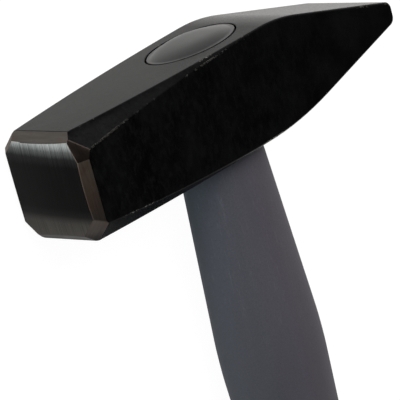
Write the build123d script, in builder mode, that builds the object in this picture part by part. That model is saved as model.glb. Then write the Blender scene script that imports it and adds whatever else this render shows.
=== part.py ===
"""Cross-peen machinist's hammer with a moulded handle, lying on its far cheek.

+X runs along the head to the peen, +Y along the handle to the head's top, +Z up out of the near cheek.
The origin is below the middle of the hammer, on the surface that it lies on. Sizes are in millimetres.
"""

import os

from build123d import *

# Overall sizes
hammer_length = 320.0  # head's top to the end of the butt
head_length = 118.0  # crown of the striking face to the edge of the peen
head_width = 27.0  # across the cheeks
head_height = 27.5  # top to underside

# Striking face: crowned, inside a ring of ground bevels, four along the sides and one on each corner
crown_radius = 150.0
ring_inset = 2.55
ring_depth = 2.85

# The ring's bevel on each corner, ground by hand and so not alike. A corner is (1 top or -1 bottom, 1 near or -1
# far cheek). Each bevel has a depth below the block's long edge at the striking face, a run along the head to
# where it would meet that edge, and a turn in degrees from the corner's diagonal towards the cheek
corner_bevels = {
    (1, 1): (4.95, 5.8, 23.0),
    (1, -1): (5.6, 5.9, 0.0),
    (-1, 1): (6.6, 6.4, 0.0),
    (-1, -1): (5.6, 5.9, 0.0),
}

# Corner flats: deepest at the face, running out along the body in a long arc
corner_flat = 5.1  # leg of the flat at the striking face
flat_run = 70.0  # from the face to where the flat has faded to the edge break
edge_break = 0.4  # leg of the small chamfer on every other long edge

# Peen: a wedge across the handle, with its edge a little below the middle of the head
top_bend = 42.3  # from the edge of the peen back to where the top starts to slope
bottom_bend = 42.6
top_bend_radius = 50.0
bottom_bend_radius = 105.0
peen_thickness = 5.4
peen_drop = 1.2
peen_edge_radius = 2.2

# Eye: an oval hole, narrowest at its waist; half lengths along X and along Z
eye_from_face = 57.8
eye_top_half = (14.0, 9.3)
eye_waist_half = (11.9, 8.3)
eye_waist_drop = 3.0  # below the middle of the head

# Cap in the top of the eye: a plug, a flat rim and a low dome
cap_plug_depth = 3.0
cap_clearance = 0.1
cap_rim = 0.8
cap_rim_step = 0.2  # rim below the head's top
cap_rise = 1.6  # dome above the head's top
dome_controls = (0.8, 0.5)  # shares of the dome's half length: the edge is steeper with a larger first one

# Handle: an oval throughout. Each station has a distance below the head's underside, a half length
# along X and the rounding of the outline there
handle_flatness = 0.72  # thickness over length of the oval
neck_half_length = 12.4
neck_clearance = 0.15
belly = (53.5, 15.88, 110.0)
waist = (112.0, 13.3, 300.0)
shank_foot = (150.0, 13.6, 0.0)

# Tenon in the eye, the resin round it, and the core rod through the handle
tenon_top_half = (10.2, 6.4)
tenon_rise = 8.0  # top of the tenon above the middle of the head
resin_floor_drop = 10.0  # below the middle of the head, where the tenon is tight enough to hold it
core_half = (7.5, 4.5)
core_reach = 262.0  # below the head's underside

# Grip: stations of its outside, and the wall of rubber along X
grip_lip = (142.0, 14.6, 1.2)
grip_front = (156.0, 14.9, 60.0)
palm = (196.0, 16.9, 160.0)
finger_waist = (248.0, 15.2, 110.0)
butt_flare = (279.0, 17.1, 40.0)
butt_round = 5.0
butt_wall = 3.0
grip_wall = 2.0
groove_count = 11
groove_pitch = 7.0
groove_width = 1.8
groove_depth = 0.7
first_groove = 162.0

# Hanging hole through the butt, lined by a boss of the jacket
hang_hole_radius = 4.25
hang_boss_radius = 7.5
hang_hole_distance = 17.0  # from the end of the butt

# Places that follow from the sizes
top_y = (hammer_length - cap_rise) / 2
head_y = top_y - head_height / 2
under_y = top_y - head_height
butt_y = top_y - hammer_length
mid_z = head_width / 2
face_x = -head_length / 2
peen_x = head_length / 2
eye_x = face_x + eye_from_face
peen_y = head_y - peen_drop
waist_y = head_y - eye_waist_drop
cap_floor_y = top_y - cap_plug_depth
rim_y = top_y - cap_rim_step
tenon_top_y = head_y + tenon_rise
resin_floor_y = head_y - resin_floor_drop
hang_y = butt_y + hang_hole_distance


def level(y):
    """The plane square to the handle at y: its own x along the head, its own y up."""
    return Plane(origin=(eye_x, y, mid_z), x_dir=(1, 0, 0), z_dir=(0, -1, 0))


def shrink(half, gap):
    """An oval's half sizes, smaller all round by a gap."""
    return (half[0] - gap, half[1] - gap)


def between(y, low, high):
    """Half sizes at y on the straight-sided oval taper from low to high, each (y, half sizes)."""
    share = (y - low[0]) / (high[0] - low[0])
    return tuple(a + share * (b - a) for a, b in zip(low[1], high[1]))


def ring_section(x):
    """The section at x of the block that the four side bevels of the ring would leave."""
    spread = 2 * ring_inset * ((x - face_x) / ring_depth - 1)
    with BuildSketch(Plane(origin=(x, head_y, mid_z), x_dir=(0, 1, 0), z_dir=(1, 0, 0))) as section:
        Rectangle(head_height + spread, head_width + spread)
    return section.sketch.face()


def oval_taper(low, high, mode=Mode.ADD):
    """In the open part: a straight-sided taper between two ovals, each (y, half sizes)."""
    ovals = []
    for y, half in (low, high):
        with BuildSketch(level(y)) as oval:
            Ellipse(*half)
        ovals += oval.sketch.faces()
    loft(ovals, ruled=True, mode=mode)


def turned_oval(outline, flatness):
    """A closed oval form: an outline of (y, half length, rounding), turned and then flattened."""
    points = [(eye_x + half, y) for y, half, rounding in outline]
    roundings = [rounding for y, half, rounding in outline]
    first = (eye_x, outline[0][0])
    last = (eye_x, outline[-1][0])
    with BuildPart() as form:
        with BuildSketch(Plane.XY.offset(mid_z)):
            with BuildLine():
                FilletPolyline(first, *points, last, radius=[0, *roundings, 0], close=True)
            make_face()
        revolve(axis=Axis((eye_x, 0, mid_z), (0, 1, 0)))
        scale(by=(1, 1, flatness), about=(0, 0, mid_z))
    return form.part


def grip_outline(inset, end_y):
    """The grip's stations, all smaller by an inset, down to end_y."""
    stations = (grip_lip, grip_front, palm, finger_waist, butt_flare)
    outline = [(under_y - down, half - inset, rounding) for down, half, rounding in stations]
    return outline + [(end_y, butt_flare[1] - inset, butt_round)]


neck_half = (neck_half_length, neck_half_length * handle_flatness)
eye_top = (top_y, eye_top_half)
eye_waist = (waist_y, eye_waist_half)
eye_bottom = (under_y, shrink(neck_half, -neck_clearance))

# Head: the side profile, drawn out across the cheeks
with BuildPart() as hammer_head:
    with BuildSketch(Plane.XY):
        with BuildLine():
            FilletPolyline(
                (face_x, under_y),
                (face_x, top_y),
                (peen_x - top_bend, top_y),
                (peen_x, peen_y + peen_thickness / 2),
                (peen_x, peen_y - peen_thickness / 2),
                (peen_x - bottom_bend, under_y),
                radius=[0, 0, top_bend_radius, peen_edge_radius, peen_edge_radius, bottom_bend_radius],
                close=True,
            )
        make_face()
    extrude(amount=head_width)
    cheeks = hammer_head.faces().filter_by(Axis.Z)
    long_edges = cheeks.edges().filter_by_position(Axis.X, face_x, peen_x, inclusive=(False, True))
    chamfer(long_edges, edge_break)
    # Corner flats: an arc in the diagonal plane of each long edge, tangent to the edge break. The corner's bevel
    # is a straight cut, in that plane or one turned about the edge
    face_depth = corner_flat / 2**0.5
    edge_depth = edge_break / 2**0.5
    for y, side_y in ((top_y, 1), (under_y, -1)):
        for z, side_z in ((head_width, 1), (0, -1)):
            across_flat = Vector(1, 0, 0).cross(Vector(0, side_y, side_z))
            flat_plane = Plane(origin=(face_x, y, z), x_dir=(1, 0, 0), z_dir=across_flat)
            with BuildSketch(flat_plane):
                with BuildLine():
                    flat_arc = TangentArc((flat_run, -edge_depth), (0, -face_depth), tangent=(-1, 0))
                    Polyline(flat_arc @ 1, (0, edge_depth), (flat_run, edge_depth), flat_arc @ 0)
                make_face()
            extrude(amount=corner_flat, both=True, mode=Mode.SUBTRACT)
            bevel_depth, bevel_run, bevel_turn = corner_bevels[side_y, side_z]
            with BuildSketch(flat_plane.rotated((bevel_turn, 0, 0))):
                with BuildLine():
                    Polyline((0, -bevel_depth), (bevel_run, 0), (0, 0), close=True)
                make_face()
            extrude(amount=head_width / 2, both=True, mode=Mode.SUBTRACT)
    loft([ring_section(face_x), ring_section(peen_x)], ruled=True, mode=Mode.INTERSECT)
    with Locations((face_x + crown_radius, head_y, mid_z)):
        Sphere(crown_radius, mode=Mode.INTERSECT)
    oval_taper(eye_bottom, eye_waist, mode=Mode.SUBTRACT)
    oval_taper(eye_waist, eye_top, mode=Mode.SUBTRACT)

# Core: a pultruded glass-fibre rod from the top of the tenon to near the butt
with BuildPart() as handle_core:
    with BuildSketch(level(tenon_top_y)):
        Ellipse(*core_half)
    extrude(amount=tenon_top_y - under_y + core_reach)

# Forms that more than one handle piece is cut from
shank_outline = [(under_y - down, half, rounding) for down, half, rounding in (belly, waist, shank_foot)]
shank_form = turned_oval([(under_y, neck_half_length, 0), *shank_outline], handle_flatness)
grip_form = turned_oval(grip_outline(0, butt_y), handle_flatness)
under_grip_form = turned_oval(grip_outline(grip_wall, butt_y + butt_wall), handle_flatness)
groove_floor_form = turned_oval(grip_outline(groove_depth, butt_y), handle_flatness)

# Boss for the hanging hole, flush with the outside of the grip
with BuildPart() as hang_boss:
    with BuildSketch(Plane.XY):
        with Locations((eye_x, hang_y)):
            Circle(hang_boss_radius)
    extrude(amount=head_width)
    add(grip_form, mode=Mode.INTERSECT)

# Jacket: tenon in the eye, bare shank, and a thinner stretch under the grip, moulded round the core
with BuildPart() as handle_jacket:
    oval_taper((under_y, neck_half), (tenon_top_y, tenon_top_half))
    add(shank_form)
    add(under_grip_form)
    add(hang_boss.part)
    add(handle_core.part, mode=Mode.SUBTRACT)
    with BuildSketch(Plane.XY):
        with Locations((eye_x, hang_y)):
            Circle(hang_hole_radius)
    extrude(amount=head_width, mode=Mode.SUBTRACT)

# Grooves round the grip: rings cut down to the grip's form, one groove depth smaller
with BuildPart() as groove_rings:
    for number in range(groove_count):
        with BuildSketch(level(under_y - first_groove - number * groove_pitch)):
            Circle(head_width)
        extrude(amount=groove_width)
    add(groove_floor_form, mode=Mode.SUBTRACT)

# Grip: soft rubber sleeve moulded over the jacket and round its butt
with BuildPart() as grip_sleeve:
    add(grip_form)
    add(groove_rings.part, mode=Mode.SUBTRACT)
    add(shank_form, mode=Mode.SUBTRACT)
    add(under_grip_form, mode=Mode.SUBTRACT)
    with BuildSketch(Plane.XY):
        with Locations((eye_x, hang_y)):
            Circle(hang_boss_radius)
    extrude(amount=head_width, mode=Mode.SUBTRACT)

# Cap: a tapered plug in the top of the eye, with a flat rim and a low dome
rim_half = shrink(between(rim_y, eye_waist, eye_top), cap_clearance)
plug_foot_half = shrink(between(cap_floor_y, eye_waist, eye_top), cap_clearance)
dome_half = shrink(rim_half, cap_rim)
with BuildPart() as eye_cap:
    with BuildSketch(Plane.XY.offset(mid_z)):
        with BuildLine():
            dome_line = Bezier(
                (eye_x + dome_half[0], rim_y),
                (eye_x + dome_half[0] * dome_controls[0], top_y + cap_rise),
                (eye_x + dome_half[0] * dome_controls[1], top_y + cap_rise),
                (eye_x, top_y + cap_rise),
            )
            Polyline(dome_line @ 1, (eye_x, rim_y), dome_line @ 0)
        make_face()
    revolve(axis=Axis((eye_x, 0, mid_z), (0, 1, 0)))
    scale(by=(1, 1, dome_half[1] / dome_half[0]), about=(0, 0, mid_z))
    oval_taper((cap_floor_y, plug_foot_half), (rim_y, rim_half))

# Resin: cast round the tenon and over its top, up to the cap
with BuildPart() as eye_resin:
    oval_taper((resin_floor_y, between(resin_floor_y, eye_bottom, eye_waist)), eye_waist)
    oval_taper(eye_waist, (cap_floor_y, between(cap_floor_y, eye_waist, eye_top)))
    oval_taper((under_y, neck_half), (tenon_top_y, tenon_top_half), mode=Mode.SUBTRACT)

pieces = {
    "hammer_head": hammer_head,
    "eye_cap": eye_cap,
    "eye_resin": eye_resin,
    "handle_core": handle_core,
    "handle_jacket": handle_jacket,
    "grip_sleeve": grip_sleeve,
}
os.makedirs("parts", exist_ok=True)
for name, piece in pieces.items():
    piece.part.label = name
    export_step(piece.part, f"parts/{name}.step")
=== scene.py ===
# %% [markdown]
# # An engineer's cross-peen hammer
#
# The hammer lies on a pale table, on one cheek of its head. Its head is a drop-forged block of steel with a
# square striking face at one end and a wedge, the peen, at the other. Black lacquer covers the forging, and only
# the striking face and the bevels round it are ground bare. The handle is moulded: a grey polypropylene jacket
# over a glass-fibre rod, with a soft rubber grip over its lower half, cast into the head's oval eye with epoxy
# resin. A domed cap closes the top of the eye.
#
# The sizes come from the CAD model of the same hammer, which is loaded first and gives every place in metres.
# This script gives each piece the roundings and the surface that the eye expects of the real thing.

# %% Load the CAD model
import math

import bmesh
import bpy
from mathutils import Matrix, Quaternion, Vector
from mathutils.geometry import interpolate_bezier


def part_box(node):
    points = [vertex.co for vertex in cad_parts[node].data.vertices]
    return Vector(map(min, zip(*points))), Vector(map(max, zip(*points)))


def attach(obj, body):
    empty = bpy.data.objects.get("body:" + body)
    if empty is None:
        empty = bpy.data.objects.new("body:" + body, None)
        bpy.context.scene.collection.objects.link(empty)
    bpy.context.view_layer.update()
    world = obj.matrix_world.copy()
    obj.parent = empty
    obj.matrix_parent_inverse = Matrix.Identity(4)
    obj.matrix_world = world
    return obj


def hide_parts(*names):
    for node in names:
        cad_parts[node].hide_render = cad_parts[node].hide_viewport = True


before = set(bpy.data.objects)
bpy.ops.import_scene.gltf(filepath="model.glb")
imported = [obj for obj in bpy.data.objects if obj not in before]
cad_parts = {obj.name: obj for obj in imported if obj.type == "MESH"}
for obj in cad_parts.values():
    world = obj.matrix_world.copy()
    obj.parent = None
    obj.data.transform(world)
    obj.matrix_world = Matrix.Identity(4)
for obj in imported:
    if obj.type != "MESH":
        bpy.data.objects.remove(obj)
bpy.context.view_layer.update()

print("CAD pieces:", sorted(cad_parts))

# %% [markdown]
# Sizes on a hand tool are easiest to read in millimetres, and Blender's unit here is the metre, so one value turns
# one into the other. The head's box gives nearly every place that the pieces need: the head's top and underside,
# its striking face, and the height of the plane half way between its cheeks, which is the plane that the handle
# is centred on. The grip's box gives the handle's axis and the butt.

# %% Places from the pieces' boxes
mm = 0.001
head_low, head_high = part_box("hammer_head")
grip_low, grip_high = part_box("grip_sleeve")
face_x = head_low.x
peen_x = head_high.x
under_y = head_low.y
top_y = head_high.y
head_y = (under_y + top_y) / 2
butt_y = grip_low.y
mid_z = (head_low.z + head_high.z) / 2
eye_x = (grip_low.x + grip_high.x) / 2
print(f"head {(peen_x - face_x) / mm:.1f} mm long, eye at x {eye_x / mm:.1f} mm, middle at z {mid_z / mm:.1f} mm")


# %% [markdown]
# Three small helpers serve every piece. The first turns a finished bmesh into an object that rides on the hammer,
# stands for its CAD piece and takes the materials that it is given. The second rounds chosen edges, because no
# edge that left a forge or a mould is perfectly sharp, and a rounded edge is what catches the light. The third
# finds the edges that need it.

# %% Helpers for pieces
def finish_piece(form, name, node, materials):
    """Makes the bmesh a smooth piece that stands for a CAD node."""
    mesh = bpy.data.meshes.new(name)
    form.to_mesh(mesh)
    form.free()
    mesh.shade_smooth()
    for material in materials:
        mesh.materials.append(material)
    piece = bpy.data.objects.new(name, mesh)
    bpy.context.scene.collection.objects.link(piece)
    even = piece.modifiers.new("even_shading", "WEIGHTED_NORMAL")
    even.keep_sharp = True
    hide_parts(node)
    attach(piece, "root")
    print(f"{name}: {len(mesh.vertices)} vertices, {len(mesh.polygons)} faces")


def round_edges(form, edges, width, segments, clamp):
    """Rounds edges; returns the new faces. A clamp holds every edge's width to what the shortest edge allows."""
    return bmesh.ops.bevel(
        form, geom=edges, offset=width, segments=segments, profile=0.5, affect="EDGES", material=-1,
        clamp_overlap=clamp,
    )["faces"]


def corner_edges(faces, degrees):
    """The edges of some faces whose two faces meet at more than an angle."""
    edges = dict.fromkeys(edge for face in faces for edge in face.edges if edge.is_manifold)
    return [edge for edge in edges if edge.calc_face_angle() > math.radians(degrees)]


# %% [markdown]
# Materials are built from nodes. One function adds a node, sets what is given as a plain value and links what is
# given as another node. Colours are written as sRGB hex values, the way a colour picker shows them, and one function
# turns them into the linear values that Blender works in. Every pattern reads Object coordinates, so its size is a
# real one: a noise of scale 1 / (2 mm) has lumps about 2 mm across.

# %% Helpers for materials
def linear(hex_colour):
    """An sRGB hex colour as linear red, green, blue and alpha."""
    parts = [int(hex_colour[i : i + 2], 16) / 255 for i in (1, 3, 5)]
    return (*[p / 12.92 if p <= 0.04045 else ((p + 0.055) / 1.055) ** 2.4 for p in parts], 1.0)


def add(tree, kind, inputs=None, stops=(), **settings):
    """Adds a node. An input is a plain value, an output, or a node for its first output. Stops are for a ramp."""
    node = tree.nodes.new("ShaderNode" + kind)
    for setting, value in settings.items():
        setattr(node, setting, value)
    for socket, value in (inputs or {}).items():
        if isinstance(value, bpy.types.Node):
            value = value.outputs[0]
        if isinstance(value, bpy.types.NodeSocket):
            tree.links.new(value, node.inputs[socket])
        else:
            node.inputs[socket].default_value = value
    for number, (position, colour) in enumerate(stops):
        marks = node.color_ramp.elements
        mark = marks[number] if number < len(marks) else marks.new(position)
        mark.position = position
        mark.color = linear(colour)
    return node


def start_material(name):
    """A new material with an empty tree: returns the material, its tree and its Object coordinates."""
    material = bpy.data.materials.new(name)
    material.use_nodes = True
    tree = material.node_tree
    tree.nodes.clear()
    return material, tree, add(tree, "TexCoord").outputs["Object"]


def finish_material(tree, inputs):
    """Adds the shader and the output. What is the same all over the surface is a plain value on the shader."""
    add(tree, "OutputMaterial", {"Surface": add(tree, "BsdfPrincipled", inputs)})


def per(*sizes):
    """A pattern's scale, or its scales along X, Y and Z, for features of these sizes in metres."""
    scales = tuple(1 / size for size in sizes)
    return scales if len(scales) > 1 else scales[0]


# %% [markdown]
# ## Black lacquer on forged steel
#
# The head is dipped or sprayed with a thin black lacquer straight over the forging. The lacquer is glossy by
# itself, but it follows the shallow dents and the fine scale pits of the forged steel, so the whole reads as satin.
# The pits are really about a tenth of a millimetre across, and are drawn at half a millimetre so that they show.

# %% Lacquer: dents and pits of the forging
dent_size, dent_depth = 9 * mm, 0.05 * mm
pit_size, pit_depth = 0.5 * mm, 0.004 * mm
black_lacquer, tree, place = start_material("black_lacquer_on_forged_steel")
dents = add(tree, "TexNoise", {"Vector": place, "Scale": per(dent_size), "Detail": 2.0, "Roughness": 0.5})
pits = add(tree, "TexNoise", {"Vector": place, "Scale": per(pit_size), "Detail": 2.0, "Roughness": 0.6})
black = add(tree, "ValToRGB", {"Fac": dents}, stops=[(0.35, "#040404"), (0.7, "#0b0b0b")])
rough = add(tree, "MapRange", {"Value": pits, "From Min": 0.3, "From Max": 0.7, "To Min": 0.17, "To Max": 0.25})
bump = add(tree, "Bump", {"Height": dents, "Strength": 1.0, "Distance": dent_depth})
bump = add(tree, "Bump", {"Height": pits, "Strength": 1.0, "Distance": pit_depth, "Normal": bump})
print(f"dents of {dent_size / mm:.1f} mm, pits of {pit_size / mm:.1f} mm")

# %% [markdown]
# Where an edge is rubbed, specks of bare steel show through. The rubbed edges are marked on the mesh by an
# attribute. It is added to two noises, one with the size of the specks and one that gathers them into worn
# stretches, and the steel is bare where the sum passes a limit that an unrubbed face never reaches.

# %% Lacquer: specks of bare steel
speck_size, worn_size = 0.9 * mm, 14 * mm
bare_from, bare_to = 2.19, 2.26
specks = add(tree, "TexNoise", {"Vector": place, "Scale": per(speck_size), "Detail": 4.0, "Roughness": 0.7})
worn = add(tree, "TexNoise", {"Vector": place, "Scale": per(worn_size), "Detail": 1.0})
bare = add(tree, "Math", {0: specks, 1: worn}, operation="ADD")
rub = add(tree, "Attribute", attribute_name="rubbed").outputs["Fac"]
bare = add(tree, "Math", {0: bare, 1: rub}, operation="ADD")
bare = add(tree, "MapRange", {"Value": bare, "From Min": bare_from, "From Max": bare_to})
print(f"specks of {speck_size / mm:.1f} mm, in worn stretches of {worn_size / mm:.0f} mm")

# %% [markdown]
# Dipped lacquer also sags a little as it dries, which leaves faint paler runs that are about twice as long as they
# are wide and fade towards the peen. Two more attributes mark a pale tone that is partly dust and partly a painted
# sheen. On the upper corner flats it gathers near the striking face, and stays off the half millimetre next to the
# top, which leaves a painted dark band along that edge. On the top it thins out from the far cheek to a little past
# the middle. Each ramp of it goes from a clean value to a full one, and one more, from the noise of the pits, keeps
# it uneven.

# %% Lacquer: runs, dust and painted sheen
run_width, run_length = 1.2 * mm, 2.4 * mm
runs = add(tree, "Mapping", {"Vector": place, "Scale": per(run_width, run_length, run_width)})
runs = add(tree, "TexNoise", {"Vector": runs, "Scale": 1.0, "Detail": 4.0, "Roughness": 0.7})
runs = add(tree, "MapRange", {"Value": runs, "From Min": 0.45, "From Max": 0.75, "To Max": 0.5})
x, y, z = add(tree, "SeparateXYZ", {"Vector": place}).outputs
fading = add(tree, "MapRange", {"Value": x, "From Min": face_x, "From Max": peen_x, "To Min": 1.0, "To Max": 0.1})
pale = add(tree, "Math", {0: runs, 1: fading}, operation="MULTIPLY")
# These marks paint a paler tone, partly dust and partly painted sheen, and a painted dark band along the flats' top
# edge.
dust_sheen_ramps = {
    "dust_and_sheen": [(x, face_x + 45 * mm, face_x + 8 * mm), (y, top_y - 0.4 * mm, top_y - 1.4 * mm)],
    "dust_and_sheen_top": [(z, mid_z + 6 * mm, 0.0)],
}
for attribute, ramps in dust_sheen_ramps.items():
    dust_sheen = add(tree, "Attribute", attribute_name=attribute).outputs["Fac"]
    for value, clean, full in [*ramps, (pits, 0.2, 0.5)]:
        amount = add(tree, "MapRange", {"Value": value, "From Min": clean, "From Max": full})
        dust_sheen = add(tree, "Math", {0: dust_sheen, 1: amount}, operation="MULTIPLY")
    pale = add(tree, "Math", {0: pale, 1: dust_sheen}, operation="ADD", use_clamp=True)
print("dust is marked by", *dust_sheen_ramps)

# %% [markdown]
# A low specular level stands for the lacquer being so thin: straight on it looks deep black, and only at a grazing
# angle does it turn pale.

# %% Lacquer: put together
colour = add(tree, "MixRGB", {"Fac": pale, "Color1": black, "Color2": linear("#1b1b1b")})
colour = add(tree, "MixRGB", {"Fac": bare, "Color1": colour, "Color2": linear("#726e6a")})
finish_material(tree, {
    "Base Color": colour, "Roughness": rough, "Metallic": bare, "Normal": bump, "Specular IOR Level": 0.047,
})
print("material", black_lacquer.name)


# %% [markdown]
# ## Ground steel
#
# The striking face is ground on a belt that runs up the head, so its lines run along the head's height. Fine
# parallel lines make steel anisotropic: a highlight is smeared across the lines and stays sharp along them. A ramp
# up the face paints its tone as a reflection: a bright painted highlight along the upper edge, a dark painted
# reflection across the middle, and a middling one along the lower edge. The ramp leans a little, and is pushed up
# and down by the lines, so that its borders are ragged.
#
# The bevels are ground as the head is turned against the wheel, so their lines run round it, at one distance from
# the end. They are a warm, darker grey with brown stains, and a ramp up the head paints shade on them: darkest at
# the underside, lightest a little below the top. The corner bevel between the top and the near cheek is darkest, a
# painted dark reflection that an attribute marks. Belt lines are about 0.1 mm apart. They are drawn at 0.15 mm on
# the face and, coarser so that they show, at 0.4 mm on the bevels.

# %% Ground steel
def make_ground_steel(name, stops, line_sizes, lean, contrast, stain, tangent, roughness):
    """Steel with ground lines. Its stops paint reflection and shade up the head, from the underside at 0 to the top
    at 1, and may lean.
    """
    cloud_size, line_depth, ragged = 6 * mm, 0.004 * mm, 0.8 * mm
    material, tree, place = start_material(name)
    lines = add(tree, "Mapping", {"Vector": place, "Scale": per(*line_sizes)})
    lines = add(tree, "TexNoise", {"Vector": lines, "Scale": 1.0, "Detail": 4.0, "Roughness": 0.6})
    clouds = add(tree, "TexNoise", {"Vector": place, "Scale": per(cloud_size), "Detail": 3.0})
    up = add(tree, "VectorMath", {0: place, 1: (0.0, 1.0, lean)}, operation="DOT_PRODUCT").outputs["Value"]
    uneven = add(tree, "MapRange", {"Value": lines, "To Min": -ragged, "To Max": ragged})
    up = add(tree, "Math", {0: up, 1: uneven}, operation="ADD")
    shift = lean * mid_z
    up = add(tree, "MapRange", {"Value": up, "From Min": under_y + shift, "From Max": top_y + shift})
    colour = add(tree, "ValToRGB", {"Fac": up}, stops=stops)
    stained = add(tree, "MapRange", {"Value": clouds, "From Min": 0.5, "From Max": 0.68, "To Max": stain})
    colour = add(tree, "MixRGB", {"Fac": stained, "Color1": colour, "Color2": linear("#5a4136")})
    # An attribute marks the corner bevel, which is painted dark brown: a painted dark reflection.
    corner_shade_mask = add(tree, "Attribute", attribute_name="painted_corner_shade").outputs["Fac"]
    colour = add(tree, "MixRGB", {"Fac": corner_shade_mask, "Color1": colour, "Color2": linear("#2b2421")})
    streaks = {"Value": lines, "From Min": 0.3, "From Max": 0.7, "To Min": 1 - contrast, "To Max": 1 + contrast}
    streaks = add(tree, "MapRange", streaks)
    colour = add(tree, "VectorMath", {0: colour, "Scale": streaks}, operation="SCALE")
    rough = {"Value": clouds, "From Min": 0.3, "From Max": 0.7, "To Min": roughness[0], "To Max": roughness[1]}
    rough = add(tree, "MapRange", rough)
    bump = add(tree, "Bump", {"Height": lines, "Strength": 1.0, "Distance": line_depth})
    along = add(tree, "CombineXYZ", dict(zip("XYZ", tangent)))
    finish_material(tree, {
        "Base Color": colour, "Roughness": rough, "Normal": bump, "Tangent": along, "Metallic": 1.0,
        "Anisotropic": 0.6,
    })
    print("material", name)
    return material


# %% Ground steel of the face and of the bevels
# The face's stops paint its reflection: a middling lower edge, a dark middle and a bright highlight along the top.
face_painted_reflection_stops = [
    (0.07, "#4d4a47"), (0.2, "#454340"), (0.27, "#1e1d1d"), (0.34, "#0f0f0f"), (0.72, "#111111"),
    (0.8, "#262727"), (0.86, "#606463"), (0.92, "#aeb4b3"),
]
# The bevels' stops paint shade up the head: darkest at the underside, lightest a little below the top.
ring_painted_shade_stops = [
    (0.0, "#242221"), (0.05, "#363331"), (0.1, "#4a4542"), (0.3, "#585049"), (0.5, "#6c625a"),
    (0.8, "#75695f"), (0.92, "#56524e"),
]
ground_face = make_ground_steel(
    "ground_steel_face", face_painted_reflection_stops, line_sizes=(3 * mm, 14 * mm, 0.15 * mm), lean=0.06, contrast=0.38, stain=0.0,
    tangent=(0.0, 1.0, 0.0), roughness=(0.3, 0.4))
ground_ring = make_ground_steel(
    "ground_steel_bevel", ring_painted_shade_stops, line_sizes=(0.4 * mm, 7 * mm, 7 * mm), lean=0.0, contrast=0.15, stain=0.5,
    tangent=(0.0, 0.0, 1.0), roughness=(0.38, 0.48))


# %% [markdown]
# ## Moulded plastics and rubber
#
# The jacket is grey polypropylene from a mould whose surface was spark-eroded to a fine matt grain. Polypropylene
# is slightly waxy, so it has a soft sheen at a grazing angle. The cap is a black plastic of the same kind from a
# smoother mould. The grip is a black thermoplastic rubber, with a coarser grain that holds a little dust. The grain
# is really about 0.1 mm, and is drawn at 0.4 to 0.6 mm so that it shows. Patches of long thin scuffs run down the
# handle, where it has been drawn out of a belt or a box. An attribute marks a gap that is painted near black, partly
# as grime and partly as painted shade; only the cap has it. Resin and glass fibre are hidden in the finished tool,
# but get their own look too: the resin's mottle is soft and wide, and the fibres are drawn at 0.3 mm.

# %% Moulded plastics
def make_moulded(name, dark, pale, grain, grain_depth, roughness, scuff, specular):
    """A moulded surface with its grain, a range of roughness, and scuffs of some strength."""
    cloud_width, cloud_length = 9 * mm, 60 * mm
    scuff_width, scuff_length = 0.6 * mm, 5 * mm
    material, tree, place = start_material(name)
    grains = add(tree, "TexNoise", {"Vector": place, "Scale": per(grain), "Detail": 2.0, "Roughness": 0.6})
    clouds = add(tree, "Mapping", {"Vector": place, "Scale": per(cloud_width, cloud_length, cloud_width)})
    clouds = add(tree, "TexNoise", {"Vector": clouds, "Scale": 1.0, "Detail": 4.0, "Roughness": 0.55})
    colour = add(tree, "ValToRGB", {"Fac": clouds}, stops=[(0.3, dark), (0.7, pale)])
    scuffs = add(tree, "Mapping", {"Vector": place, "Scale": per(scuff_width, scuff_length, scuff_width)})
    scuffs = add(tree, "TexNoise", {"Vector": scuffs, "Scale": 1.0, "Detail": 5.0, "Roughness": 0.7})
    scuffs = add(tree, "MapRange", {"Value": scuffs, "From Min": 0.56, "From Max": 0.66, "To Max": scuff})
    patches = add(tree, "MapRange", {"Value": clouds, "From Min": 0.48, "From Max": 0.6})
    scuffs = add(tree, "Math", {0: scuffs, 1: patches}, operation="MULTIPLY")
    colour = add(tree, "MixRGB", {"Fac": scuffs, "Color1": colour, "Color2": linear("#8f9193")})
    speckled = {"Value": grains, "From Min": 0.3, "From Max": 0.7, "To Min": 0.9, "To Max": 1.1}
    speckled = add(tree, "MapRange", speckled)
    colour = add(tree, "VectorMath", {0: colour, "Scale": speckled}, operation="SCALE")
    rough = {"Value": clouds, "From Min": 0.3, "From Max": 0.7, "To Min": roughness[0], "To Max": roughness[1]}
    rough = add(tree, "MapRange", rough)
    # Where the attribute is set, the colour is painted near black, as grime and as painted shade in a gap.
    grime_and_shade = add(tree, "Attribute", attribute_name="gap_grime_and_shade").outputs["Fac"]
    colour = add(tree, "MixRGB", {"Fac": grime_and_shade, "Color1": colour, "Color2": linear("#060606")})
    rough = add(tree, "Math", {0: rough, 1: grime_and_shade}, operation="MAXIMUM")
    bump = add(tree, "Bump", {"Height": grains, "Strength": 1.0, "Distance": grain_depth})
    finish_material(tree, {
        "Base Color": colour, "Roughness": rough, "Normal": bump, "Specular IOR Level": specular,
    })
    print("material", name)
    return material


# %% Plastics, rubber, resin and glass fibre
grey_polypropylene = make_moulded(
    "grey_polypropylene", "#49464c", "#4f4c53", grain=0.4 * mm, grain_depth=0.01 * mm, roughness=(0.6, 0.7),
    scuff=0.1, specular=0.25)
cap_plastic = make_moulded(
    "cap_polypropylene", "#262626", "#2b2b2b", grain=0.5 * mm, grain_depth=0.003 * mm, roughness=(0.27, 0.34),
    scuff=0.05, specular=0.28)
black_rubber = make_moulded(
    "black_rubber", "#19191a", "#222223", grain=0.6 * mm, grain_depth=0.03 * mm, roughness=(0.62, 0.74),
    scuff=0.15, specular=0.35)
epoxy = make_moulded(
    "amber_epoxy", "#a5803c", "#b8924a", grain=1.5 * mm, grain_depth=0.01 * mm, roughness=(0.15, 0.25),
    scuff=0.0, specular=0.5)
glass_fibre = make_moulded(
    "glass_fibre_in_polyester", "#b9b49a", "#cfcab2", grain=0.3 * mm, grain_depth=0.02 * mm, roughness=(0.5, 0.6),
    scuff=0.0, specular=0.45)

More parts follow.
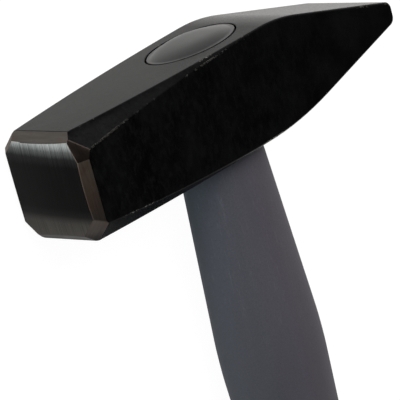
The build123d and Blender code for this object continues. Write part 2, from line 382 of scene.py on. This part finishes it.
# %% [markdown]
# ## The head
#
# The CAD head already has the right planes and arcs: the block, the corner flats that run out along it, the wedge,
# the bevels round the face and the oval eye. It could be carved again from a cube, but a merged copy keeps every
# size, so the copy is the better start. Its loose triangles are welded and its flat areas cleaned to single faces.
# Four layers are added for the marks that the materials read.

# %% Copy the CAD head and clean it
weld_distance = 0.001 * mm
flat_angle = math.radians(0.2)


def cad_form(node):
    """A welded copy of a CAD piece's mesh."""
    form = bmesh.new()
    form.from_mesh(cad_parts[node].data)
    bmesh.ops.remove_doubles(form, verts=form.verts, dist=weld_distance)
    return form


head_form = cad_form("hammer_head")
rubbed = head_form.faces.layers.float.new("rubbed")
painted_corner_shade = head_form.faces.layers.float.new("painted_corner_shade")
dust_and_sheen = head_form.faces.layers.float.new("dust_and_sheen")
dust_and_sheen_top = head_form.faces.layers.float.new("dust_and_sheen_top")
bmesh.ops.dissolve_limit(head_form, angle_limit=flat_angle, verts=head_form.verts, edges=head_form.edges)
print("welded head:", len(head_form.verts), "vertices,", len(head_form.faces), "faces")

# %% [markdown]
# The ground faces are told from the lacquered ones by where they look. The crown of the striking face looks almost
# straight out along -X, the bevels look partly that way, and the corner flats hardly do. The part of the normal
# along -X measures it: it is 1 for a face that looks straight out.

# %% Sort the ground faces from the lacquered ones
LACQUER, FACE, RING = 0, 1, 2
ring_reach = 6 * mm
ring_look, face_look = 0.4, 0.97
for face in head_form.faces:
    if face.calc_center_median().x < face_x + ring_reach and face.normal.x < -ring_look:
        face.material_index = FACE if face.normal.x < -face_look else RING
crown_faces = [face for face in head_form.faces if face.material_index == FACE]
bmesh.ops.dissolve_faces(head_form, faces=crown_faces)
print("crown faces merged:", len(crown_faces))

# %% [markdown]
# What the CAD lacks is the roundings: no edge of a hammer is left sharp enough to cut. One bevel rounds them all,
# because edges that meet at a corner are then joined by one clean patch. The bevel isn't clamped: a clamp would hold
# every edge to what the short edges of the peen's tip allow, which is too little to see. A quarter of a millimetre
# fits the narrow flats along the peen from both sides.
#
# The lacquered roundings are marked as rubbed, for the lacquer to wear there, and most along the near cheek's upper
# edge in front of the eye.

# %% Round the edges
edge_rounding = 0.25 * mm
edge_segments = 3
head_corner_degrees = 20
cheek_edge_reach = 0.3 * mm
rub_amount, most_rub = 1.0, 1.1
head_corners = corner_edges(head_form.faces, head_corner_degrees)
for face in round_edges(head_form, head_corners, edge_rounding, edge_segments, clamp=False):
    if face.material_index == LACQUER:
        centre = face.calc_center_median()
        on_cheek = centre.z > head_high.z - cheek_edge_reach
        face[rubbed] = most_rub if on_cheek and centre.x < eye_x and centre.y > head_y else rub_amount
print("rounded head:", len(head_form.faces), "faces, rubbed:", sum(face[rubbed] > 0 for face in head_form.faces))

# %% [markdown]
# The corner bevel between the top and the near cheek is marked for a painted dark reflection. The upper corner
# flats and the top get their marks for dust and painted sheen. Each limit is again a part of the normal: a corner
# bevel and a corner flat look both along Y and along Z, and the top looks almost straight along Y.

# %% Mark the painted corner shade, and the faces with dust and painted sheen
corner_look, flat_look, top_look = 0.2, 0.3, 0.97
corner_shade_amount, flat_dust_sheen, top_dust_sheen = 0.9, 0.55, 0.9
for face in head_form.faces:
    # The corner bevel between the top and the near cheek gets the painted dark reflection.
    if face.material_index == RING and min(face.normal.y, face.normal.z) > corner_look:
        face[painted_corner_shade] = corner_shade_amount
    if face.material_index == LACQUER and min(face.normal.y, abs(face.normal.z)) > flat_look:
        face[dust_and_sheen] = flat_dust_sheen
    if face.material_index == LACQUER and face.normal.y > top_look:
        face[dust_and_sheen_top] = top_dust_sheen
for name, layer in (("painted_corner_shade", painted_corner_shade), ("dust_and_sheen", dust_and_sheen), ("dusty on the top", dust_and_sheen_top)):
    print(name, "faces:", sum(face[layer] > 0 for face in head_form.faces))


# %% [markdown]
# The striking face is slightly crowned, a part of a large ball, so that a blow lands in its middle. One big flat
# face can't curve, so it is cut into a grid by planes both ways, and each point of the grid is moved out to the
# ball. Only the flat is cut: the roundings at its borders look a little away from -X, and are left alone. A cut
# needs the faces with their edges and points, and a helper gathers them.

# %% Crown the striking face
crown_radius = 150 * mm
crown_look = 0.985
grid_pitch = 1.5 * mm
grid_half_count = 9
cut_tolerance = 0.01 * mm


def with_borders(faces):
    """Some faces with all their edges and points."""
    edges = [edge for face in faces for edge in face.edges]
    points = [point for face in faces for point in face.verts]
    return list(dict.fromkeys([*faces, *edges, *points]))


def flat_of_crown():
    """The faces that the flat of the striking face is cut into so far."""
    return [face for face in head_form.faces if face.material_index == FACE and face.normal.x < -crown_look]


for number in range(-grid_half_count, grid_half_count + 1):
    for direction in ((0, 1, 0), (0, 0, 1)):
        point = Vector((face_x, head_y, mid_z)) + Vector(direction) * grid_pitch * number
        bmesh.ops.bisect_plane(
            head_form, geom=with_borders(flat_of_crown()), dist=cut_tolerance, plane_co=point, plane_no=direction)
crown_faces = flat_of_crown()
for vertex in {vertex for face in crown_faces for vertex in face.verts}:
    away = math.hypot(vertex.co.y - head_y, vertex.co.z - mid_z)
    vertex.co.x = face_x + crown_radius - math.sqrt(crown_radius**2 - away**2)
print("crown cut into", len(crown_faces), "faces")

# %% Make the head
finish_piece(
    head_form, "forged_head", "hammer_head", [black_lacquer, ground_face, ground_ring])


# %% [markdown]
# ## Spun and flattened forms
#
# The handle is oval all the way down, and so is the cap, so each of their pieces starts as an outline of a few
# corner points on one side. The corners are rounded with a bevel, the outline is spun round the handle's axis to
# a round form, and the form is flattened to an oval. That is quicker to change than a loft, and its faces are an
# even grid.

# %% Spin an outline to an oval form
spin_steps = 128
outline_segments = 8


def spun_form(outline, flatness):
    """An oval form round the handle's axis from an outline of (distance from the axis, y, rounding) points."""
    form = bmesh.new()
    points = [form.verts.new((away, y, 0)) for away, y, rounding in outline]
    for pair in zip(points, points[1:]):
        form.edges.new(pair)
    for point, (away, y, rounding) in zip(points, outline):
        if rounding:
            arms = [edge.other_vert(point).co - point.co for edge in point.link_edges]
            turn = math.pi - arms[0].angle(arms[1])
            bmesh.ops.bevel(
                form, geom=[point], offset=rounding * math.tan(turn / 2), segments=outline_segments, profile=0.5,
                affect="VERTICES", material=-1, clamp_overlap=False,
            )
    bmesh.ops.spin(
        form, geom=[*form.verts, *form.edges], cent=(0, 0, 0), axis=(0, 1, 0), angle=2 * math.pi,
        steps=spin_steps, use_merge=True,
    )
    bmesh.ops.remove_doubles(form, verts=form.verts, dist=weld_distance)
    bmesh.ops.scale(form, vec=(1, 1, flatness), verts=form.verts)
    bmesh.ops.translate(form, vec=(eye_x, 0, mid_z), verts=form.verts)
    bmesh.ops.recalc_face_normals(form, faces=form.faces)
    return form


# %% [markdown]
# ## The cap
#
# The cap is pressed into the eye and glued on the resin. Its dome rises from a narrow flat rim with a rounded
# shoulder, almost level across the middle, and falls towards both ends. The dome's line is a Bezier curve, and its
# fall grows with the square of the distance along the head.

# %% Dome of the cap
cap_low, cap_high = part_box("eye_cap")
cap_gap, cap_rim = 0.25 * mm, 1.0 * mm
rim_y = top_y - 0.02 * mm
plug_half_x = (cap_high.x - cap_low.x) / 2 - cap_gap
plug_half_z = (cap_high.z - cap_low.z) / 2 - cap_gap
dome_half_x = plug_half_x - cap_rim
dome_half_z = plug_half_z - cap_rim
level_part, shoulder_part, end_fall = 0.5, 0.8, 0.45
dome_points = 24
dome_line = interpolate_bezier(
    (0, cap_high.y, 0), (dome_half_x * level_part, cap_high.y, 0), (dome_half_x * shoulder_part, cap_high.y, 0),
    (dome_half_x, rim_y, 0), dome_points,
)
dome_form = spun_form([(point.x, point.y, 0.0) for point in dome_line], dome_half_z / dome_half_x)
for vertex in dome_form.verts:
    lengthwise = (vertex.co.x - eye_x) / dome_half_x
    vertex.co.y -= (vertex.co.y - rim_y) * end_fall * lengthwise**2
print(f"dome {2 * dome_half_x / mm:.1f} x {2 * dome_half_z / mm:.1f} mm, {(cap_high.y - rim_y) / mm:.2f} mm high")

# %% [markdown]
# The tapered plug is an outline with its rim rounded. The dome is flattened a little more than the plug, so that the
# rim keeps an even width, and a bridge between their two loops makes the rim. The plug's rounded edge and side, in
# the narrow gap round the plug, are marked to be painted near black, as grime and as painted shade in the gap.

# %% Plug of the cap
plug_lip, plug_rounding = 0.5 * mm, 0.35 * mm
plug_taper, foot_rounding = 0.3 * mm, 0.3 * mm
level_look = 0.82
plug_outline = [
    (plug_half_x - plug_lip, rim_y, 0.0),
    (plug_half_x, rim_y, plug_rounding),
    (plug_half_x - plug_taper, cap_low.y, foot_rounding),
    (0.0, cap_low.y, 0.0),
]
cap_form = spun_form(plug_outline, plug_half_z / plug_half_x)
dome_mesh = bpy.data.meshes.new("dome")
dome_form.to_mesh(dome_mesh)
cap_form.from_mesh(dome_mesh)
dome_form.free()
bpy.data.meshes.remove(dome_mesh)
open_edges = [edge for edge in cap_form.edges if edge.is_boundary]
bmesh.ops.bridge_loops(cap_form, edges=open_edges)
bmesh.ops.recalc_face_normals(cap_form, faces=cap_form.faces)
gap_grime_and_shade = cap_form.faces.layers.float.new("gap_grime_and_shade")
# The plug's faces in the gap are marked to be painted near black, as grime and as painted shade.
for face in cap_form.faces:
    if face.calc_center_median().y < rim_y and face.normal.y < level_look:
        face[gap_grime_and_shade] = 1.0
finish_piece(cap_form, "domed_cap", "eye_cap", [cap_plastic])


# %% [markdown]
# ## The handle's jacket
#
# The jacket is one moulding: a tenon up in the eye, a bare shank that swells below the head and narrows to a
# waist, a thinner stretch under the grip, and a boss across the butt for the hanging hole. The outlines of the
# jacket and the grip are written together, because the one follows the other from the lip of the grip to the butt,
# a wall's thickness apart. The tenon is drawn a little too thick, and is cut to size further on.

# %% Outlines of the handle
handle_flatness = 0.72
grip_wall, butt_wall = 2.0 * mm, 3.0 * mm
grip_belly, butt_half, butt_rounding = 16.9 * mm, 17.1 * mm, 5 * mm
shank_end_half, seat_half = 13.6 * mm, 12.75 * mm
tenon_top_y = under_y + 22.5 * mm
lip_y = under_y - 142 * mm
shank_end_y = under_y - 150 * mm
jacket_end_y = butt_y + butt_wall
tenon_outline = [
    (0.0, tenon_top_y, 0.0),
    (10.9 * mm, tenon_top_y, 0.0),
    (11.4 * mm, under_y + 10.75 * mm, 0.0),
    (11.95 * mm, under_y + 3.75 * mm, 0.0),
]
shank_outline = [
    (12.4 * mm, under_y, 0.0),
    (15.88 * mm, under_y - 53.5 * mm, 110 * mm),
    (13.3 * mm, under_y - 112 * mm, 300 * mm),
    (shank_end_half, shank_end_y, 0.0),
]
grip_outline = [
    (14.6 * mm, lip_y, 1.2 * mm),
    (14.9 * mm, under_y - 156 * mm, 60 * mm),
    (grip_belly, under_y - 196 * mm, 160 * mm),
    (15.2 * mm, under_y - 248 * mm, 110 * mm),
    (butt_half, under_y - 279 * mm, 40 * mm),
    (butt_half, butt_y, butt_rounding),
    (0.0, butt_y, 0.0),
]
under_grip_outline = [
    (seat_half, shank_end_y, 0.0),
    *[(away - grip_wall, y, rounding) for away, y, rounding in grip_outline[1:5]],
    (butt_half - grip_wall, jacket_end_y, butt_rounding),
    (0.0, jacket_end_y, 0.0),
]
jacket_outline = [*tenon_outline, *shank_outline, *under_grip_outline]
print(f"handle from y {tenon_top_y / mm:.1f} to {butt_y / mm:.1f} mm, grip from y {lip_y / mm:.1f} mm")


# %% [markdown]
# The boss is a short post, trimmed to the grip's outside and joined on, and the hole is cut through it. Joining and
# cutting closed forms is work for the Boolean modifier, so a helper lends two forms to it, takes the result back
# and clears away the slivers that such a cut can leave.

# %% Combine closed forms
def combine(form, other, operation):
    """Joins, cuts or intersects two closed forms, which are used up, and returns the result as a new form."""
    pair = []
    for part in (form, other):
        mesh = bpy.data.meshes.new("lent")
        part.to_mesh(mesh)
        part.free()
        lent = bpy.data.objects.new("lent", mesh)
        bpy.context.scene.collection.objects.link(lent)
        pair.append(lent)
    modifier = pair[0].modifiers.new("combine", "BOOLEAN")
    modifier.operation = operation
    modifier.solver = "EXACT"
    modifier.object = pair[1]
    bpy.context.view_layer.update()
    result = bmesh.new()
    result.from_object(pair[0], bpy.context.evaluated_depsgraph_get())
    bmesh.ops.dissolve_degenerate(result, dist=weld_distance, edges=result.edges)
    bmesh.ops.remove_doubles(result, verts=result.verts, dist=weld_distance)
    for lent in pair:
        mesh = lent.data
        bpy.data.objects.remove(lent)
        bpy.data.meshes.remove(mesh)
    return result


# %% Jacket with its boss
hang_y = butt_y + 17 * mm
boss_radius = 7.5 * mm
post_length, post_segments = 40 * mm, 96


def post(radius):
    """A round post across the butt, along Z, where the hanging hole is."""
    form = bmesh.new()
    bmesh.ops.create_cone(
        form, cap_ends=True, segments=post_segments, radius1=radius, radius2=radius, depth=post_length,
        matrix=Matrix.Translation((eye_x, hang_y, mid_z)),
    )
    return form


grip_core = spun_form([(0.0, lip_y, 0.0), *grip_outline], handle_flatness)
boss = combine(post(boss_radius), grip_core, "INTERSECT")
jacket_form = combine(spun_form(jacket_outline, handle_flatness), boss, "UNION")
print("jacket with its boss:", len(jacket_form.faces), "faces")

# %% [markdown]
# The hole's cutter flares towards both ends, which leaves the rounded mouth that a moulded hole has. It is spun
# round the handle's axis like the rest, then turned to lie along Z and moved to its place. After the hole, the CAD
# resin, which fits the tenon all round, trims the tenon to size, and the CAD rod cuts its own bore.

# %% Hanging hole, tenon and bore
hole_radius = 4.25 * mm
mouth_flare, mouth_rounding, mouth_depth = 4 * mm, 2.0 * mm, 0.8 * mm
cutter_end = post_length / 2
mouth_z = handle_flatness * grip_belly - mouth_depth
cutter_outline = [
    (0.0, -cutter_end, 0.0),
    (hole_radius + mouth_flare, -cutter_end, 0.0),
    (hole_radius, -mouth_z, mouth_rounding),
    (hole_radius, mouth_z, mouth_rounding),
    (hole_radius + mouth_flare, cutter_end, 0.0),
    (0.0, cutter_end, 0.0),
]
hole_cutter = spun_form(cutter_outline, 1.0)
bmesh.ops.translate(hole_cutter, vec=(-eye_x, 0, -mid_z), verts=hole_cutter.verts)
bmesh.ops.rotate(hole_cutter, cent=(0, 0, 0), matrix=Matrix.Rotation(math.pi / 2, 3, "X"), verts=hole_cutter.verts)
bmesh.ops.translate(hole_cutter, vec=(eye_x, hang_y, mid_z), verts=hole_cutter.verts)
for cutter in (hole_cutter, cad_form("eye_resin"), cad_form("handle_core")):
    jacket_form = combine(jacket_form, cutter, "DIFFERENCE")
finish_piece(jacket_form, "moulded_jacket", "handle_jacket", [grey_polypropylene])

# %% [markdown]
# ## The grip
#
# The grip is moulded over the jacket in a second shot of soft rubber. Its outline goes up its inside from the butt,
# over the lip, down its outside and round the butt again, so that one spin gives a closed wall.

# %% Wall of the grip
inner_outline = [
    *under_grip_outline[::-1],
    (shank_end_half, shank_end_y, 0.0),
    (13.55 * mm, lip_y, 0.0),
]
grip_form = spun_form([*inner_outline, *grip_outline], handle_flatness)
print("grip's wall:", len(grip_form.faces), "faces")


# %% [markdown]
# Eleven grooves run round the grip for a better hold. Each is a band between two cuts that is pushed in with an
# inset, and its edges are then rounded. Last, the post cuts the grip clear of the boss, with a hair's breadth to
# spare.

# %% Grooves of the grip
first_groove_y = under_y - 162 * mm
groove_width, groove_pitch, groove_depth, groove_count = 1.8 * mm, 7 * mm, 0.7 * mm, 11
groove_slope, groove_rounding, groove_segments, groove_corner_degrees = 0.3 * mm, 0.2 * mm, 2, 25
boss_gap = 0.05 * mm


def is_outside(face):
    """Whether a face of the grip looks away from the handle's axis."""
    centre = face.calc_center_median() - Vector((eye_x, 0, mid_z))
    return face.normal.x * centre.x + face.normal.z * centre.z > 0


def is_in_groove(face):
    """Whether a face of the grip lies between the two cuts of a groove."""
    down = first_groove_y - face.calc_center_median().y
    return 0 < down < groove_count * groove_pitch and down % groove_pitch < groove_width


for number in range(groove_count):
    groove_top = first_groove_y - number * groove_pitch
    for y in (groove_top, groove_top - groove_width):
        outside = [face for face in grip_form.faces if is_outside(face)]
        bmesh.ops.bisect_plane(
            grip_form, geom=with_borders(outside), dist=cut_tolerance, plane_co=(0, y, 0), plane_no=(0, 1, 0))
bands = [face for face in grip_form.faces if is_outside(face) and is_in_groove(face)]
walls = bmesh.ops.inset_region(
    grip_form, faces=bands, thickness=groove_slope, depth=-groove_depth, use_boundary=True, use_even_offset=True,
)["faces"]
round_edges(grip_form, corner_edges(walls, groove_corner_degrees), groove_rounding, groove_segments, clamp=True)
grip_form = combine(grip_form, post(boss_radius + boss_gap), "DIFFERENCE")
finish_piece(grip_form, "rubber_grip", "grip_sleeve", [black_rubber])

# %% [markdown]
# ## Resin and core
#
# The resin round the tenon and the glass-fibre rod are closed in by the other pieces. Their CAD forms are right as
# they are, and only take their materials.

# %% Resin and core
for node, material in (("eye_resin", epoxy), ("handle_core", glass_fibre)):
    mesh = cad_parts[node].data
    mesh.materials.clear()
    mesh.materials.append(material)
    print(node, "takes", material.name)

# %% [markdown]
# ## Table
#
# The hammer lies on a sheet of white paper, wide enough to be the whole background. The sheet lies 0.05 mm below the
# head's lower cheek, because two faces at one height flicker where they meet.

# %% Table
table_half = 6.0
table_drop = 0.05 * mm
table_form = bmesh.new()
bmesh.ops.create_grid(table_form, x_segments=1, y_segments=1, size=table_half)
bmesh.ops.translate(table_form, vec=(0, 0, -table_drop), verts=table_form.verts)
table_mesh = bpy.data.meshes.new("table_top")
table_form.to_mesh(table_mesh)
table_form.free()
table_top = bpy.data.objects.new("table_top", table_mesh)
bpy.context.scene.collection.objects.link(table_top)
print(f"table {2 * table_half:.0f} m wide, {table_drop / mm:.2f} mm below the hammer")

# %% [markdown]
# Paper scatters light evenly, so it is a plain diffuse surface, with the faint mottle of its fibres drawn at 1.5 mm,
# which is coarser than real. Mixed into it is a plain white glow, which keeps the background white without more light
# on the hammer, and leaves enough of the paper for a soft shadow. The camera sees most of that glow, and reflections
# a smaller share, so that they keep more of the shadow.

# %% Paper
glow_strength = 1.1
camera_share, mirror_share = 0.88, 0.3
paper, tree, place = start_material("white_paper")
fibres = add(tree, "TexNoise", {"Vector": place, "Scale": per(1.5 * mm)})
paper_white = add(tree, "ValToRGB", {"Fac": fibres}, stops=[(0.3, "#efebe7"), (0.7, "#f5f2ef")])
sheet = add(tree, "BsdfDiffuse", {"Color": paper_white})
glow = add(tree, "Emission", {"Color": (1.0, 1.0, 1.0, 1.0), "Strength": glow_strength})
rays = add(tree, "LightPath").outputs
mirrored = add(tree, "Math", {0: rays["Is Glossy Ray"], 1: mirror_share}, operation="MULTIPLY")
seen = add(tree, "Math", {0: rays["Is Camera Ray"], 1: rays["Is Transmission Ray"]}, operation="MAXIMUM")
seen = add(tree, "Math", {0: seen, 1: camera_share}, operation="MULTIPLY")
share = add(tree, "Math", {0: seen, 1: mirrored}, operation="MAXIMUM")
add(tree, "OutputMaterial", {"Surface": add(tree, "MixShader", {"Fac": share, 1: sheet, 2: glow})})
table_mesh.materials.append(paper)
print("material", paper.name)

# %% [markdown]
# ## Light
#
# Black lacquer shows what is round it, so the room decides how it looks. The walls are white near the table and
# fade to a dark ceiling, so that the upper cheek, which mirrors the ceiling, stays black, while the sides that
# mirror the table turn grey. A direction's height goes from 0 at the horizon to 1 straight up.

# %% World
wall_height, ceiling_height = 0.1, 0.66
wall_strength, ceiling_strength = 0.9, 0.03
world = bpy.data.worlds.new("studio")
bpy.context.scene.world = world
world.use_nodes = True
tree = world.node_tree
tree.nodes.clear()
height = add(tree, "SeparateXYZ", {"Vector": add(tree, "TexCoord").outputs["Generated"]}).outputs["Z"]
room = add(
    tree, "MapRange",
    {
        "Value": height, "From Min": wall_height, "From Max": ceiling_height,
        "To Min": wall_strength, "To Max": ceiling_strength,
    },
    interpolation_type="SMOOTHSTEP",
)
camera_ray = add(tree, "LightPath").outputs["Is Camera Ray"]
strength = add(tree, "Math", {0: room, 1: camera_ray}, operation="MAXIMUM")
background = add(tree, "Background", {"Color": (1.0, 1.0, 1.0, 1.0), "Strength": strength})
add(tree, "OutputWorld", {"Surface": background})
print("world", world.name)


# %% [markdown]
# Three soft boxes then light the hammer at a plain level: the key from over the camera's shoulder, a weaker one from
# the other side for the handle's far edge, and a weak low one from beyond the striking face, with the blue-green of
# a window, that cools the handle's near edge. Only the key is mirrored by glossy surfaces.

# %% Soft boxes
softbox_distance = 1.2


def direction_of(azimuth, elevation):
    """The unit vector towards an azimuth, where 0 is towards -Y and 90 towards +X, and an elevation."""
    a, e = math.radians(azimuth), math.radians(elevation)
    return Vector((math.sin(a) * math.cos(e), -math.cos(a) * math.cos(e), math.sin(e)))


def add_softbox(name, azimuth, elevation, size, watts, colour="#ffffff", mirrored=False):
    """A square soft box that faces the head. It may be left out of what glossy surfaces mirror."""
    lamp = bpy.data.lights.new(name, "AREA")
    lamp.shape = "SQUARE"
    lamp.size = size
    lamp.energy = watts
    lamp.color = linear(colour)[:3]
    box = bpy.data.objects.new(name, lamp)
    towards = direction_of(azimuth, elevation)
    turn = towards.to_track_quat("Z", "Y").to_matrix().to_4x4()
    box.matrix_world = Matrix.Translation(Vector((0.0, head_y, mid_z)) + towards * softbox_distance) @ turn
    bpy.context.scene.collection.objects.link(box)
    box.visible_camera = False
    box.visible_glossy = mirrored
    print(name, watts, "W")


add_softbox("key_softbox", azimuth=-160, elevation=48, size=0.9, watts=10.0, mirrored=True)
add_softbox("far_softbox", azimuth=130, elevation=42, size=0.7, watts=6.0)
add_softbox("window_softbox", azimuth=-92, elevation=6, size=0.25, watts=2.8, colour="#72f0fc")

# %% [markdown]
# ## Camera
#
# A long lens from above the face end of the head, aimed at the head and rolled so that the handle hangs down in its
# view. It is placed by the direction and the distance from which it looks.

# %% Camera
camera_azimuth = -115.45
camera_elevation = 42.38
camera_roll = 92.61
camera_distance = 740 * mm
aim = Vector((-7.3 * mm, 120.2 * mm, 8.7 * mm))
camera_data = bpy.data.cameras.new("camera")
camera_data.lens = 270
camera_data.sensor_width = 36
camera_data.clip_start = 0.01
camera_data.clip_end = 50
camera = bpy.data.objects.new("camera", camera_data)
bpy.context.scene.collection.objects.link(camera)
back = direction_of(camera_azimuth, camera_elevation)
look = (-back).to_track_quat("-Z", "Y")
camera.rotation_mode = "QUATERNION"
camera.rotation_quaternion = look @ Quaternion((0, 0, 1), math.radians(camera_roll))
camera.location = aim + back * camera_distance
bpy.context.scene.camera = camera
bpy.context.scene.view_settings.view_transform = "Standard"
print("camera at", [round(place / mm) for place in camera.location], "mm")
